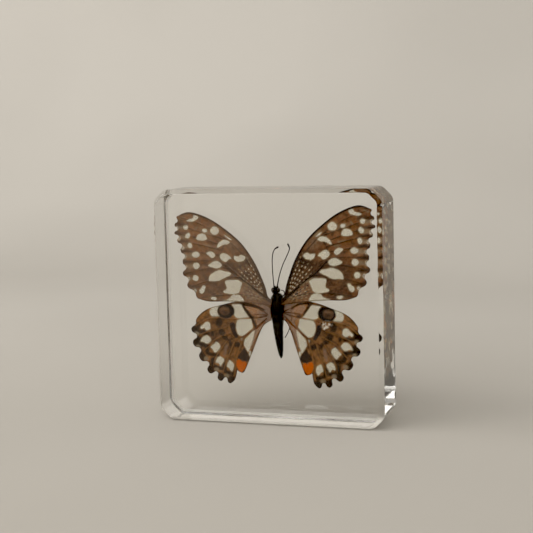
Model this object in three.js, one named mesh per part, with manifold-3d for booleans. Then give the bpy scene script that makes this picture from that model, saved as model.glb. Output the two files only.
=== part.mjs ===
// A spread lime swallowtail butterfly, cast in a clear resin slab that stands on one edge.
// Millimetres: +X to the right, +Y to the back, +Z up. The origin is the middle of the slab's foot.
// The insect shows its upper side to the front. Its pieces are laid out about its own middle.
import * as THREE from "three";
import { mergeVertices } from "three/addons/utils/BufferGeometryUtils.js";
import Module from "manifold-3d";

const wasm = await Module();
wasm.setup();

// The slab: a square block with its four corners cut at 45 degrees and both faces bevelled all round.
// CORNER is one corner's outline, as distances in from the upright and the level side. The cut is
// eased where it meets the sides. The bevel goes deeper than it is wide.
const SLAB_WIDTH = 75;
const SLAB_HEIGHT = 75;
const SLAB_DEPTH = 20;
const CORNER = [[4.6, 0], [2.8, 0.9], [0.9, 2.8], [0, 4.6]];
const FACE_BEVEL = 1.2;
const BEVEL_DEPTH = 2;

// Where the insect's own middle lies from the slab's centre: a little to the left and to the back.
const INSECT_PLACE = [-0.92, 4.5, -0.36];

// The slab is parted in two at the insect's plane, round a pocket that holds the insect.
const PARTING_GAP = 0.3;
const CLEARANCE = 0.4;
const LEG_ROOM = {
  outline: [[-1.2, -2.5], [0.2, -13.6], [3.6, -13.8], [6.8, -5.5], [6.8, 2], [4.9, 5.9], [0.9, 6.9],
    [-0.8, 3.8]],
  back: 3.9,
};

// Joined solids keep no edge shorter than this, so that every piece stays one closed body.
const SHORTEST_EDGE = 0.004;

// The wings are thin plates with raised veins. The fore pair lies in front of the hind pair.
// Each vein in a wing's list is finer than the one before it by VEIN_FINER.
const WING_THICKNESS = 0.25;
const VEIN_RADIUS = 0.2;
const VEIN_FINER = 0.006;
const WING_PLANE_OFFSET = 0.4;
const ROOT_GAP = 0.3;

// Each wing's root from the insect's middle and its turn in degrees. Stretch is [outward, up]: the
// left pair dried a little differently from the right.
const FOREWING_ROOTS = {
  right: { x: 4.6, z: 2.5, turn: 0, stretch: [1, 1], side: 1 },
  left: { x: -0.8, z: 2.3, turn: 3.1, stretch: [1.015, 0.985], side: -1 },
};
const HINDWING_ROOTS = {
  right: { x: 4.5, z: -2, turn: 0, stretch: [1, 1], side: 1 },
  left: { x: -1.6, z: -3, turn: -5.3, stretch: [1, 0.985], side: -1 },
};

// A wing's outline, as [outward, up] from its root. The outer margin runs from vein end to vein end
// and dips in between by the given scallop depths.
const FOREWING = {
  costa: [[-1.2, -0.6], [0.1, 0.8], [0.5, 3.2], [1.5, 6.5], [3.8, 12.4], [7.5, 18.4], [12, 22.9], [18, 27.3],
    [24.4, 29.7], [28.8, 28.5]],
  veinEnds: [[28.8, 28.5], [29.7, 25.8], [30, 23], [29.2, 20.3], [28.3, 17], [27.9, 13.3], [28.2, 9.4],
    [26.9, 4.9], [23.7, 0.8]],
  scallops: [0.6, 0.9, 0.9, 0.9, 0.9, 0.9, 1, 0.6],
  hindMargin: [[23.7, 0.8], [20, -0.3], [14, -0.5], [7, -1.1], [0.5, -1.6], [-1.2, -1.6]],
  veins: [
    [[0.3, 1.6], [3.4, 8.2], [7.2, 14.6], [12, 19.8], [20, 25.2], [27.8, 28.3]],
    [[12, 19.8], [20, 22.6], [28.9, 25.7]],
    [[13.4, 18], [21, 20.8], [29.2, 23]],
    [[14.2, 16.6], [21, 18.6], [28.4, 20.3]],
    [[14.8, 15], [21, 16], [27.5, 17]],
    [[14.6, 12.9], [20, 13.4], [27.1, 13.3]],
    [[0.8, 0.6], [5.4, 4.6], [8.6, 7.4], [14.6, 12.9]],
    [[12, 10.4], [18, 11], [27.4, 9.4]],
    [[8.6, 7.4], [16, 7.4], [26.1, 5]],
    [[0.8, -0.1], [8, 1.6], [16, 1.7], [23, 1]],
  ],
};
const HINDWING = {
  costa: [[-1.9, 1], [0.3, 3.3], [3.2, 4.3], [6.5, 3.9], [11.5, 2.8], [15.5, 1.4], [19.5, -0.1],
    [22.2, -2], [23.8, -4]],
  veinEnds: [[23.8, -4], [25.5, -7.8], [24.6, -12.8], [21.9, -17.6], [18.6, -21.9], [14.6, -24.2],
    [10.8, -24.7]],
  scallops: [0.5, 1.5, 1.5, 1.7, 1.8, 1.5],
  hindMargin: [[10.8, -24.7], [9.4, -23.3], [8.9, -21.3], [8.7, -19.9], [8, -20.3], [6.6, -20.4], [5.7, -18.5],
    [3.6, -12], [1.9, -6.5], [0.5, -3.5], [-1.9, -1.6]],
  veins: [
    [[0.8, 0.4], [7, 1.6], [14, 0.8], [20, -1.5], [23.2, -4]],
    [[0.8, -0.4], [9.7, -2.6], [15.5, -3.2], [20, -3.9], [24.9, -7.4]],
    [[12.7, -5.7], [18, -7.2], [21.8, -9.4], [24, -12.2]],
    [[12.5, -7.8], [16.6, -10.2], [19.4, -13.2], [21.4, -16.9]],
    [[11.6, -9.2], [14.8, -13.4], [16.7, -17.6], [18.2, -21.1]],
    [[9.8, -9.7], [12, -15.6], [13.2, -20], [14.4, -23.4]],
    [[0.5, -1.4], [4.5, -6], [9.8, -9.5]],
    [[9.5, -9.3], [12.2, -7.7], [12.4, -5.6], [9.8, -2.7]],
    [[7.2, -8], [8.8, -13.4], [9.4, -18], [10.5, -23.9]],
    [[0.3, -2.2], [3.6, -10], [5.8, -16.4], [6.6, -19.8]],
  ],
};

// How a scallop dips between two vein ends: share of the way along, share of the full depth.
const SCALLOP_PROFILE = [[0.14, 0.05], [0.36, 1], [0.64, 1], [0.86, 0.05]];

// The body, as [x, y, z]. The underside faces the back, so the legs fold on that side. The profiles
// are [radius, height].
const BODY_SIDES = 12;
const THORAX_CENTRE = [2, 0.9, -0.3];
const THORAX_PROFILE = [[0, 4.3], [1.2, 3.9], [1.8, 2.9], [2.1, 1], [2.15, -1.5], [2.05, -3.3], [1.5, -4.5],
  [0, -4.9]];
const HEAD_CENTRE = [1.6, 0.7, 4.9];
const HEAD_RADIUS = 1.2;
const EYE_RADIUS = 0.75;
const EYE_OFFSET = [0.85, -0.2, 0.1];
const PALP_RADIUS = 0.32;
const PALP_START = [0.4, 0.6, 0];
const PALP_END = [0.48, 0.9, 1.5];
const ABDOMEN_START = [1.75, 1, -4.2];
const ABDOMEN_LENGTH = 13.2;
const ABDOMEN_LEAN = 5;
const ABDOMEN_RADIUS = 1.7;
const ABDOMEN_RINGS = 7;
const ABDOMEN_BLUNTNESS = 1.4;
const RING_DEPTH = 0.12;
const STEPS_PER_RING = 2;
const BODY_DEPTH_SCALE = 1.08;

const LEG_RADIUS = 0.2;
const LEGS = [
  [[2.8, 2.2, 2.4], [4.1, 2.4, 3.4], [4, 1.9, 4.6], [3.1, 1.6, 4.9]],
  [[1.1, 2.2, 2.4], [0.3, 3.2, 3.3], [1.1, 3.3, 5], [1.5, 3, 6]],
  [[3, 2.4, -0.4], [6, 2.9, 1.1], [6.1, 3, -5.2], [5.2, 2.9, -8.4], [3.9, 2.8, -10.8]],
  [[1, 2.4, -0.4], [-0.6, 3.2, -1.2], [0.4, 3.3, -5.4], [1, 3.1, -8.2]],
  [[2.7, 2.6, -2.6], [3.4, 3.4, -3.6], [3, 3.3, -8.6], [3.1, 3.1, -12.4]],
  [[1.3, 2.6, -2.6], [0.9, 3.4, -3.8], [1.7, 3.4, -9], [2.2, 3.1, -13]],
];

const ANTENNA_RADIUS = 0.15;
const CLUB_RADIUS = 0.28;
const CLUB_SHARE = 0.8;
const ANTENNAE = {
  left: [[1.2, 0.2, 5.4], [1, 0, 8], [0.8, -0.1, 12], [0.8, -0.1, 15], [1.1, -0.1, 17], [1.8, -0.1, 18.3],
    [3, 0, 19]],
  right: [[2.1, 0.2, 5.4], [3, 0, 9.5], [4.2, -0.1, 13], [5.4, -0.1, 15.5], [6.2, -0.1, 17.2], [6.6, 0, 18.6],
    [6, 0, 20.1]],
};

function closedSolid(geometry) {
  const bare = geometry.clone();
  bare.deleteAttribute("normal");
  bare.deleteAttribute("uv");
  const merged = mergeVertices(bare, 1e-4);
  const corners = merged.index.array;
  const kept = [];
  for (let i = 0; i < corners.length; i += 3) {
    const [a, b, c] = [corners[i], corners[i + 1], corners[i + 2]];
    if (a !== b && b !== c && c !== a) kept.push(a, b, c);
  }
  const vertProperties = merged.attributes.position.array;
  const triVerts = new Uint32Array(kept);
  return new wasm.Manifold(new wasm.Mesh({ numProp: 3, vertProperties, triVerts, tolerance: SHORTEST_EDGE }));
}

function joined(solids) {
  return solids.reduce((whole, piece) => whole.add(piece));
}

function namedMesh(name, body, colour, roughness) {
  const { vertProperties, triVerts } = body.getMesh();
  const geometry = new THREE.BufferGeometry();
  geometry.setAttribute("position", new THREE.BufferAttribute(vertProperties, 3));
  geometry.setIndex(new THREE.BufferAttribute(triVerts, 1));
  geometry.computeVertexNormals();
  const material = new THREE.MeshStandardMaterial({ color: colour, roughness, metalness: 0 });
  const mesh = new THREE.Mesh(geometry, material);
  mesh.name = name;
  return mesh;
}

// An outline in the X-Z plane, drawn out along Y between two depths. A rim makes it wider all round.
function drawnOut(outline, yFront, yBack, rim = 0) {
  const settings = { depth: yBack - yFront, bevelEnabled: rim > 0, bevelSegments: 1 };
  if (rim > 0) Object.assign(settings, { bevelThickness: rim, bevelSize: rim });
  const geometry = new THREE.ExtrudeGeometry(new THREE.Shape(outline), settings);
  return closedSolid(geometry.rotateX(Math.PI / 2).translate(0, yBack, 0));
}

// A tube with flat ends along a smooth curve through 3-D points. sides is an even number.
function tube(points, radius, sides, steps) {
  const section = new THREE.Shape();
  section.absarc(0, 0, radius, 0, 2 * Math.PI);
  const path = new THREE.CatmullRomCurve3(points.map((p) => new THREE.Vector3(...p)));
  const settings = { steps, extrudePath: path, bevelEnabled: false, curveSegments: sides / 2 };
  return closedSolid(new THREE.ExtrudeGeometry(section, settings));
}

function ball(centre, radius) {
  return closedSolid(new THREE.SphereGeometry(radius, 8, 6).translate(...centre));
}

function smooth(points, perSpan) {
  const curve = new THREE.SplineCurve(points.map((p) => new THREE.Vector2(...p)));
  return curve.getPoints((points.length - 1) * perSpan);
}

// The scalloped outer margin. Inward is to the right of the way from one vein end to the next.
function outerMargin(wing) {
  const points = [];
  for (let i = 0; i + 1 < wing.veinEnds.length; i += 1) {
    const start = new THREE.Vector2(...wing.veinEnds[i]);
    const along = new THREE.Vector2(...wing.veinEnds[i + 1]).sub(start);
    const inward = new THREE.Vector2(along.y, -along.x).normalize();
    points.push(start.toArray());
    for (const [share, dip] of SCALLOP_PROFILE) {
      const depth = dip * wing.scallops[i];
      points.push(start.clone().addScaledVector(along, share).addScaledVector(inward, depth).toArray());
    }
  }
  points.push(wing.veinEnds.at(-1));
  return points;
}

function wingOutline(wing) {
  return [
    ...smooth(wing.costa, 2),
    ...smooth(outerMargin(wing), 2).slice(1),
    ...smooth(wing.hindMargin, 2).slice(1),
  ];
}

// Takes a point of the design, [outward, up], to its place in the slab.
function placed(root, outward, up) {
  const [wide, high] = root.stretch;
  const point = new THREE.Vector2(root.side * outward * wide, up * high);
  point.rotateAround(new THREE.Vector2(), THREE.MathUtils.degToRad(root.turn));
  return new THREE.Vector2(root.x + point.x, root.z + point.y);
}

// A plate with its veins, which are finer towards the hind margin.
function wingSolid(wing, root, plane) {
  const outline = wingOutline(wing).map((p) => placed(root, p.x, p.y));
  const plate = drawnOut(outline, plane - WING_THICKNESS / 2, plane + WING_THICKNESS / 2);
  const veins = wing.veins.map((vein, i) => {
    const route = vein.map(([outward, up]) => placed(root, outward, up));
    const radius = VEIN_RADIUS - i * VEIN_FINER;
    return tube(route.map((p) => [p.x, plane, p.y]), radius, 4, 2 * vein.length - 4);
  });
  return joined([plate, ...veins]);
}

// The wing's pocket goes straight from vein end to vein end.
function wingPocket(wing, root, plane) {
  const corners = [...wing.costa, ...wing.veinEnds.slice(1), ...wing.hindMargin.slice(1)];
  const outline = corners.map(([outward, up]) => placed(root, outward, up));
  return drawnOut(outline, plane - VEIN_RADIUS, plane + VEIN_RADIUS, CLEARANCE);
}

// A body turned about an upright axis, a little deeper than it is wide. extra makes it fatter.
function turnedBody(profile, centre, extra, sides, lean = 0) {
  const points = profile.map(([radius, height]) => {
    const grown = radius > 0 ? radius + extra : 0;
    return new THREE.Vector2(grown, height + Math.sign(height) * (radius > 0 ? 0 : extra));
  });
  const geometry = new THREE.LatheGeometry(points.reverse(), sides);
  geometry.rotateX(Math.PI / 2).scale(1, BODY_DEPTH_SCALE, 1);
  geometry.rotateY(THREE.MathUtils.degToRad(-lean)).translate(...centre);
  return closedSolid(geometry);
}

// The abdomen tapers to a blunt point, with a shallow groove between its rings.
function abdomenProfile(stepsPerRing) {
  const steps = ABDOMEN_RINGS * stepsPerRing;
  const profile = [[0, 0.4]];
  for (let i = 0; i < steps; i += 1) {
    const share = i / steps;
    const taper = Math.sqrt(1 - share ** ABDOMEN_BLUNTNESS);
    const groove = i % stepsPerRing === 0 ? RING_DEPTH : 0;
    profile.push([ABDOMEN_RADIUS * taper - groove * taper, -ABDOMEN_LENGTH * share]);
  }
  profile.push([0, -ABDOMEN_LENGTH]);
  return profile;
}

// A place on the head. side is 1 on its right and -1 on its left.
function onHead([across, back, up], side) {
  const [x, y, z] = HEAD_CENTRE;
  return [x + side * across, y + back, z + up];
}

function trunk(extra, sides = BODY_SIDES, stepsPerRing = STEPS_PER_RING) {
  const eyes = [-1, 1].map((side) => ball(onHead(EYE_OFFSET, side), EYE_RADIUS + extra));
  return joined([
    turnedBody(THORAX_PROFILE, THORAX_CENTRE, extra, sides),
    turnedBody(abdomenProfile(stepsPerRing), ABDOMEN_START, extra, sides, ABDOMEN_LEAN),
    ball(HEAD_CENTRE, HEAD_RADIUS + extra),
    ...eyes,
  ]);
}

function limbs(radius) {
  const legs = LEGS.map((points) => tube(points, radius, 4, (points.length - 1) * 2));
  const palps = [-1, 1].map((side) => {
    const route = [onHead(PALP_START, side), onHead(PALP_END, side)];
    return tube(route, PALP_RADIUS - LEG_RADIUS + radius, 6, 1);
  });
  return joined([...legs, ...palps]);
}

function antennaSolid(points) {
  const shaft = tube(points, ANTENNA_RADIUS, 6, 10);
  const path = new THREE.CatmullRomCurve3(points.map((p) => new THREE.Vector3(...p)));
  const clubPoints = [CLUB_SHARE, (1 + CLUB_SHARE) / 2, 1].map((share) => path.getPoint(share).toArray());
  const club = tube(clubPoints, CLUB_RADIUS, 6, 4);
  return joined([shaft, club]);
}

function slabSolid() {
  const corner = (sideways, upward) => CORNER.map(([fromSide, fromLevel]) => {
    const x = SLAB_WIDTH / 2 - fromSide;
    const z = SLAB_HEIGHT / 2 - fromLevel;
    return new THREE.Vector2(sideways * x, upward * z);
  });
  const right = [...corner(1, 1), ...corner(1, -1).reverse()];
  const left = [...corner(-1, -1), ...corner(-1, 1).reverse()];
  const settings = {
    depth: SLAB_DEPTH - 2 * BEVEL_DEPTH,
    bevelThickness: BEVEL_DEPTH,
    bevelSize: FACE_BEVEL,
    bevelOffset: -FACE_BEVEL,
    bevelSegments: 1,
  };
  const geometry = new THREE.ExtrudeGeometry(new THREE.Shape([...right, ...left]), settings);
  return closedSolid(geometry.rotateX(Math.PI / 2).translate(0, SLAB_DEPTH / 2 - BEVEL_DEPTH, 0));
}

// Half of space, as a box larger than the slab. side is -1 in front of the parting and 1 behind it.
function halfSpace(side) {
  const depth = 2 * SLAB_DEPTH;
  const box = new THREE.BoxGeometry(2 * SLAB_WIDTH, depth, 2 * SLAB_HEIGHT);
  return closedSolid(box.translate(0, INSECT_PLACE[1] + side * (depth + PARTING_GAP) / 2, 0));
}

const forewings = Object.entries(FOREWING_ROOTS);
const hindwings = Object.entries(HINDWING_ROOTS);
const antennae = Object.entries(ANTENNAE);

// The pocket is a little larger than the insect and simpler: its body has fewer sides.
const pocket = joined([
  ...forewings.map(([, root]) => wingPocket(FOREWING, root, -WING_PLANE_OFFSET)),
  ...hindwings.map(([, root]) => wingPocket(HINDWING, root, WING_PLANE_OFFSET)),
  ...antennae.map(([, points]) => tube(points, CLUB_RADIUS + CLEARANCE, 4, 6)),
  trunk(CLEARANCE, 8, 1),
  drawnOut(LEG_ROOM.outline.map((p) => new THREE.Vector2(...p)), 0, LEG_ROOM.back),
]).translate(INSECT_PLACE);
const slab = slabSolid();
const body = trunk(0).add(limbs(LEG_RADIUS));
const bodySpace = trunk(ROOT_GAP).add(limbs(LEG_RADIUS + ROOT_GAP));

const insect = new THREE.Group();
insect.position.set(...INSECT_PLACE);
insect.add(namedMesh("body", body, 0x15110f, 0.7));
for (const [side, points] of antennae) {
  insect.add(namedMesh(`antenna_${side}`, antennaSolid(points).subtract(bodySpace), 0x2a1a14, 0.5));
}
for (const [side, root] of forewings) {
  const wing = wingSolid(FOREWING, root, -WING_PLANE_OFFSET).subtract(bodySpace);
  insect.add(namedMesh(`forewing_${side}`, wing, 0x5a4128, 0.6));
}
for (const [side, root] of hindwings) {
  const wing = wingSolid(HINDWING, root, WING_PLANE_OFFSET).subtract(bodySpace);
  insect.add(namedMesh(`hindwing_${side}`, wing, 0x6a4d2c, 0.6));
}

const resin = new THREE.Group();
for (const [name, side] of [["resin_front", -1], ["resin_back", 1]]) {
  const half = namedMesh(name, slab.intersect(halfSpace(side)).subtract(pocket), 0xf3f3ee, 0.05);
  half.material.transparent = true;
  half.material.opacity = 0.25;
  resin.add(half);
}

const aboutCentre = new THREE.Group();
aboutCentre.position.z = SLAB_HEIGHT / 2;
aboutCentre.add(resin, insect);
const insectInResinBlock = new THREE.Group();
insectInResinBlock.add(aboutCentre);

export default insectInResinBlock;
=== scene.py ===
# %% [markdown]
# # A butterfly cast in a block of clear resin
#
# The object is a square block of polished resin, 75 mm wide and 20 mm deep, that stands on one edge. A
# spread swallowtail hangs in it, a little behind its middle. We build the block first, then the four
# wings as thin sheets with their markings painted point by point, then the furry body, the legs and the
# antennae. All sizes are written in millimetres, about the middle of the block or of the insect, and
# are changed to metres once, when a mesh is finished.

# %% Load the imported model, the fixed frame that every piece is placed in
import math

import bmesh
import bpy
import numpy as np
from mathutils import Matrix, Vector


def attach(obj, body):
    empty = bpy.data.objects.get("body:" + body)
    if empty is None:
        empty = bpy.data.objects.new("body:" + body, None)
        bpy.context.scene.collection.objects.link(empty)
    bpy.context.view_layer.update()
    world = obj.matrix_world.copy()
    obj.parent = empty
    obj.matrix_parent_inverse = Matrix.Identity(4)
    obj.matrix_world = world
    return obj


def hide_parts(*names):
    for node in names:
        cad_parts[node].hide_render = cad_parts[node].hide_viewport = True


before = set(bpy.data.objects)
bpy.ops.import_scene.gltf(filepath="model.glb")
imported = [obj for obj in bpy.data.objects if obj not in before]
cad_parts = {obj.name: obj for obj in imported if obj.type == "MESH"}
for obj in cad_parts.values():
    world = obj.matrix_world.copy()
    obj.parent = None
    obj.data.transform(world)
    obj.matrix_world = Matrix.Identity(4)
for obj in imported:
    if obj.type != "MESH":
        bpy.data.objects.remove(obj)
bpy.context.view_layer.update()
print("nodes:", ", ".join(sorted(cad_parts)))

MM = 0.001
SLAB_WIDTH, SLAB_DEPTH, SLAB_HEIGHT = 75, 20, 75
TO_METRES = Matrix.Translation((0, 0, SLAB_HEIGHT / 2 * MM)) @ Matrix.Scale(MM, 4)
INSECT_PLACE = Matrix.Translation((-0.92, 4.5, -0.36))

# %% [markdown]
# ## The camera
#
# The photograph looks at the block from a little to its right and a little above. We write the
# camera's three axes out from those two angles and a slight roll, so that its place and its turn can
# be read and changed apart from each other. The black level deepens the shadows a little, as the
# photograph's contrast does. Light bounces many times inside clear resin, so we allow many bounces.

# %% Set up the camera
CAMERA_PLACE = Vector((115, -372, 58))
CAMERA_AZIMUTH, CAMERA_ELEVATION, CAMERA_ROLL = (math.radians(a) for a in (17.5, 6.7, -1.4))
LENS, BLACK_LEVEL, BOUNCES = 82.5, (0.032, 0.03, 0.0285), 96

back = Vector((math.sin(CAMERA_AZIMUTH) * math.cos(CAMERA_ELEVATION),
               -math.cos(CAMERA_AZIMUTH) * math.cos(CAMERA_ELEVATION),
               math.sin(CAMERA_ELEVATION)))
level = Vector((math.cos(CAMERA_AZIMUTH), math.sin(CAMERA_AZIMUTH), 0))
across = level * math.cos(CAMERA_ROLL) + back.cross(level) * math.sin(CAMERA_ROLL)
turn = Matrix((across, back.cross(across), back)).transposed().to_4x4()

camera_data = bpy.data.cameras.new("camera")
camera_data.sensor_width = 36
camera_data.lens = LENS
camera_data.clip_start = 0.01
camera = bpy.data.objects.new("camera", camera_data)
camera.matrix_world = Matrix.Translation(TO_METRES @ CAMERA_PLACE) @ turn
bpy.context.collection.objects.link(camera)
bpy.context.scene.camera = camera
grading = bpy.context.scene.view_settings
grading.view_transform = "Standard"
grading.use_curve_mapping = True
grading.curve_mapping.black_level = BLACK_LEVEL
bpy.context.scene.cycles.max_bounces = BOUNCES
bpy.context.scene.cycles.transmission_bounces = BOUNCES
print("camera at", [round(c, 3) for c in camera.location])

# %% [markdown]
# ## Small helpers
#
# Every material below is a Principled shader with a few nodes in front of it, so some short helpers
# keep the recipes readable. Colours are written the way a picture editor shows them, from 0 to 255,
# and turned into the linear values that light is added up in.

# %% Helpers for colours, materials and pieces
def linear(red, green, blue):
    shares = [c / 255 for c in (red, green, blue)]
    return tuple(s / 12.92 if s <= 0.04045 else ((s + 0.055) / 1.055) ** 2.4 for s in shares)


class Recipe:
    """A material with one Principled shader, and short ways to add nodes in front of it."""

    def __init__(self, name, **values):
        self.material = bpy.data.materials.new(name)
        self.material.use_nodes = True
        self.tree = self.material.node_tree
        self.shader = self.tree.nodes["Principled BSDF"]
        for socket, value in values.items():
            socket = socket.replace("_", " ").title().replace("Ior", "IOR")
            self.shader.inputs[socket].default_value = value if isinstance(value, float) else (*value, 1)

    def node(self, kind, inputs=None, **settings):
        made = self.tree.nodes.new("ShaderNode" + kind)
        for key, value in settings.items():
            setattr(made, key, value)
        for socket, value in (inputs or {}).items():
            if isinstance(value, bpy.types.NodeSocket):
                self.tree.links.new(value, made.inputs[socket])
            else:
                made.inputs[socket].default_value = value
        return made

    def place(self):
        return self.node("TexCoord").outputs["Object"]

    def noise(self, size, detail=3.0, place=None, roughness=0.5):
        """Cloudy noise whose features are about size millimetres across."""
        inputs = {"Vector": place or self.place(), "Scale": 1 / (size * MM), "Detail": detail,
                  "Roughness": roughness}
        return self.node("TexNoise", inputs).outputs["Fac"]

    def ranged(self, value, low, high, start=0.0, end=1.0):
        inputs = {"Value": value, "From Min": start, "From Max": end, "To Min": low, "To Max": high}
        return self.node("MapRange", inputs).outputs["Result"]

    def mixed(self, share, first, second, blend="MIX"):
        first, second = ((*c, 1) if isinstance(c, tuple) else c for c in (first, second))
        inputs = {0: share, 6: first, 7: second}
        return self.node("Mix", inputs, data_type="RGBA", blend_type=blend).outputs[2]

    def mottled(self, size, detail, start, end, dark, pale):
        """Colours the surface in soft clouds of two tones."""
        tone = self.ranged(self.noise(size, detail), 0.0, 1.0, start, end)
        self.feed("Base Color", self.mixed(tone, linear(*dark), linear(*pale)))

    def bump(self, height, depth, strength=1.0):
        made = self.node("Bump", {"Height": height, "Distance": depth * MM, "Strength": strength})
        self.feed("Normal", made.outputs["Normal"])

    def feed(self, socket, value):
        self.tree.links.new(value, self.shader.inputs[socket])


def finished(name, bm, recipe, slot=None, stands_for=(), smooth=True, place=INSECT_PLACE):
    """Turns a bmesh in millimetres into an object in metres, which rides on the one body when it has a slot.
    """
    bmesh.ops.recalc_face_normals(bm, faces=bm.faces[:])
    bmesh.ops.transform(bm, matrix=TO_METRES @ place, verts=bm.verts[:])
    mesh = bpy.data.meshes.new(name)
    bm.to_mesh(mesh)
    bm.free()
    mesh.materials.append(recipe.material)
    mesh.polygons.foreach_set("use_smooth", [smooth] * len(mesh.polygons))
    made = bpy.data.objects.new(name, mesh)
    bpy.context.collection.objects.link(made)
    if slot:
        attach(made, "root")
    if stands_for:
        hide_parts(*stands_for)
    print(name, "has", sum(len(p.vertices) - 2 for p in mesh.polygons), "triangles")
    return made


# %% [markdown]
# ## The floor, the wall and the light
#
# A studio table is one pale sheet that runs level under the object and then curves up behind it, so
# that no edge shows. Soft light comes from all round, with a large lamp in front and a smaller one to
# the left, both above the object. The insect is inside clear resin, and a renderer only finds its light
# along rays that happen to bend the right way. Wide, even light keeps that free of speckles.

# %% Make the sweep
SWEEP_START, SWEEP_RADIUS, WALL_TOP = 330, 420, 2200
SWEEP_FRONT, SWEEP_NEAR, SWEEP_HALF_WIDTH, SWEEP_STEPS = -3000, -300, 3500, 32
FLOOR_GAP = 0.1

bm = bmesh.new()
floor_level = -SLAB_HEIGHT / 2 - FLOOR_GAP
bend = [math.pi / 2 * i / SWEEP_STEPS for i in range(SWEEP_STEPS + 1)]
profile = [(SWEEP_FRONT, 0), (SWEEP_NEAR, 0)]
profile += [(SWEEP_START + SWEEP_RADIUS * math.sin(a), SWEEP_RADIUS * (1 - math.cos(a))) for a in bend]
profile += [(SWEEP_START + SWEEP_RADIUS, WALL_TOP)]
line = [bm.verts.new((-SWEEP_HALF_WIDTH, y, floor_level + z)) for y, z in profile]
edges = [bm.edges.new(pair) for pair in zip(line, line[1:])]
drawn = bmesh.ops.extrude_edge_only(bm, edges=edges)["geom"]
moved = [v for v in drawn if isinstance(v, bmesh.types.BMVert)]
bmesh.ops.translate(bm, vec=(2 * SWEEP_HALF_WIDTH, 0, 0), verts=moved)

paper = Recipe("pale_backdrop", roughness=0.75)
tone = paper.ranged(paper.noise(260, 2.0), 0.0, 1.0, 0.35, 0.65)
pale = paper.mixed(tone, linear(175, 171, 164), linear(181, 177, 170))
split = paper.node("SeparateXYZ", {"Vector": paper.place()})
# Painted shade: the sheet's colour darkens towards the front, towards the camera.
shade = paper.ranged(split.outputs["Y"], 0.0, 1.0, -0.75, 0.2)
paper.feed("Base Color", paper.mixed(shade, linear(146, 140, 130), pale))
paper.bump(paper.noise(1.1), 0.02, 0.3)
sweep = finished("sweep", bm, paper, place=Matrix())

# %% Set up the lights
SKY_LOW, SKY_HIGH, SKY_STRENGTH = (178, 172, 164), (252, 250, 246), 0.62

world = bpy.data.worlds.new("studio")
bpy.context.scene.world = world
world.use_nodes = True
nodes, links = world.node_tree.nodes, world.node_tree.links
sky = nodes["Background"]
direction, parts, ramp = (nodes.new("ShaderNode" + kind) for kind in ("TexCoord", "SeparateXYZ", "ValToRGB"))
links.new(direction.outputs["Generated"], parts.inputs["Vector"])
links.new(parts.outputs["Z"], ramp.inputs["Fac"])
links.new(ramp.outputs["Color"], sky.inputs["Color"])
ramp.color_ramp.elements[0].color = (*linear(*SKY_LOW), 1)
ramp.color_ramp.elements[1].color = (*linear(*SKY_HIGH), 1)
ramp.color_ramp.elements[1].position = 0.7
sky.inputs["Strength"].default_value = SKY_STRENGTH


def lamp(name, place, aim, size, power, colour):
    """A square soft lamp at place, in metres, turned towards aim."""
    data = bpy.data.lights.new(name, "AREA")
    data.size = size
    data.energy = power
    data.color = colour
    made = bpy.data.objects.new(name, data)
    made.location = place
    made.rotation_euler = (Vector(aim) - Vector(place)).to_track_quat("-Z", "Y").to_euler()
    bpy.context.collection.objects.link(made)


middle = (0, 0, 0.04)
lamp("window", (-1.1, -0.35, 0.95), middle, 1.0, 8, (1.0, 0.97, 0.93))
lamp("front", (-0.5, -1.5, 1.3), middle, 2.4, 44, (1.0, 0.98, 0.95))
print("the sky's strength is", SKY_STRENGTH, "and there are two lamps")

# %% [markdown]
# ## The block
#
# The real block was poured in a mould in two layers, cut, and polished. Its four corners are cut off
# at 45 degrees and both faces have a bevel all round, which is where most of its bright lines come
# from. We cut and round the corners of a thinner box, raise both faces on a sloping rim, and last bevel
# every edge by a hair, because a polished edge is never razor sharp. The faces are as clear as glass.
# The sides are polished a little less, and the small back rim is left dull, so that it doesn't draw
# dark lines through the clear front. One solid piece stands for both halves of the frame, since the
# parting is only there to leave room for the insect.

# %% Make the block
CORNER_CUT, CORNER_ROUNDING = 3.7, 1.3
FRONT_RIM, BACK_RIM, POLISH = (1.2, 2.0), (0.8, 0.8), 0.12
SIDE_ROUGHNESS, BACK_RIM_ROUGHNESS = 0.05, 0.4


def bevelled(bm, edges, width, segments=1):
    bmesh.ops.bevel(bm, geom=edges, offset=width, offset_type="OFFSET", segments=segments, profile=0.5,
                    affect="EDGES", material=-1)


def along_depth(bm):
    return [e for e in bm.edges if abs((e.verts[0].co - e.verts[1].co).normalized().y) > 0.99]


bm = bmesh.new()
bmesh.ops.create_cube(bm, size=1)
core_depth = SLAB_DEPTH - FRONT_RIM[1] - BACK_RIM[1]
bmesh.ops.scale(bm, vec=(SLAB_WIDTH, core_depth, SLAB_HEIGHT), verts=bm.verts[:])
bmesh.ops.translate(bm, vec=(0, (FRONT_RIM[1] - BACK_RIM[1]) / 2, 0), verts=bm.verts[:])
bevelled(bm, along_depth(bm), CORNER_CUT)
corners = [e for e in along_depth(bm) if e.calc_face_angle() > 0.5]
bevelled(bm, corners, CORNER_ROUNDING, 6)
bm.normal_update()
for face in [f for f in bm.faces if abs(f.normal.y) > 0.9]:
    width, depth = FRONT_RIM if face.normal.y < 0 else BACK_RIM
    bmesh.ops.inset_region(bm, faces=[face], thickness=width, depth=depth, use_even_offset=True)
bevelled(bm, [e for e in bm.edges if e.calc_face_angle() > 0.5], POLISH, 3)

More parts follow.
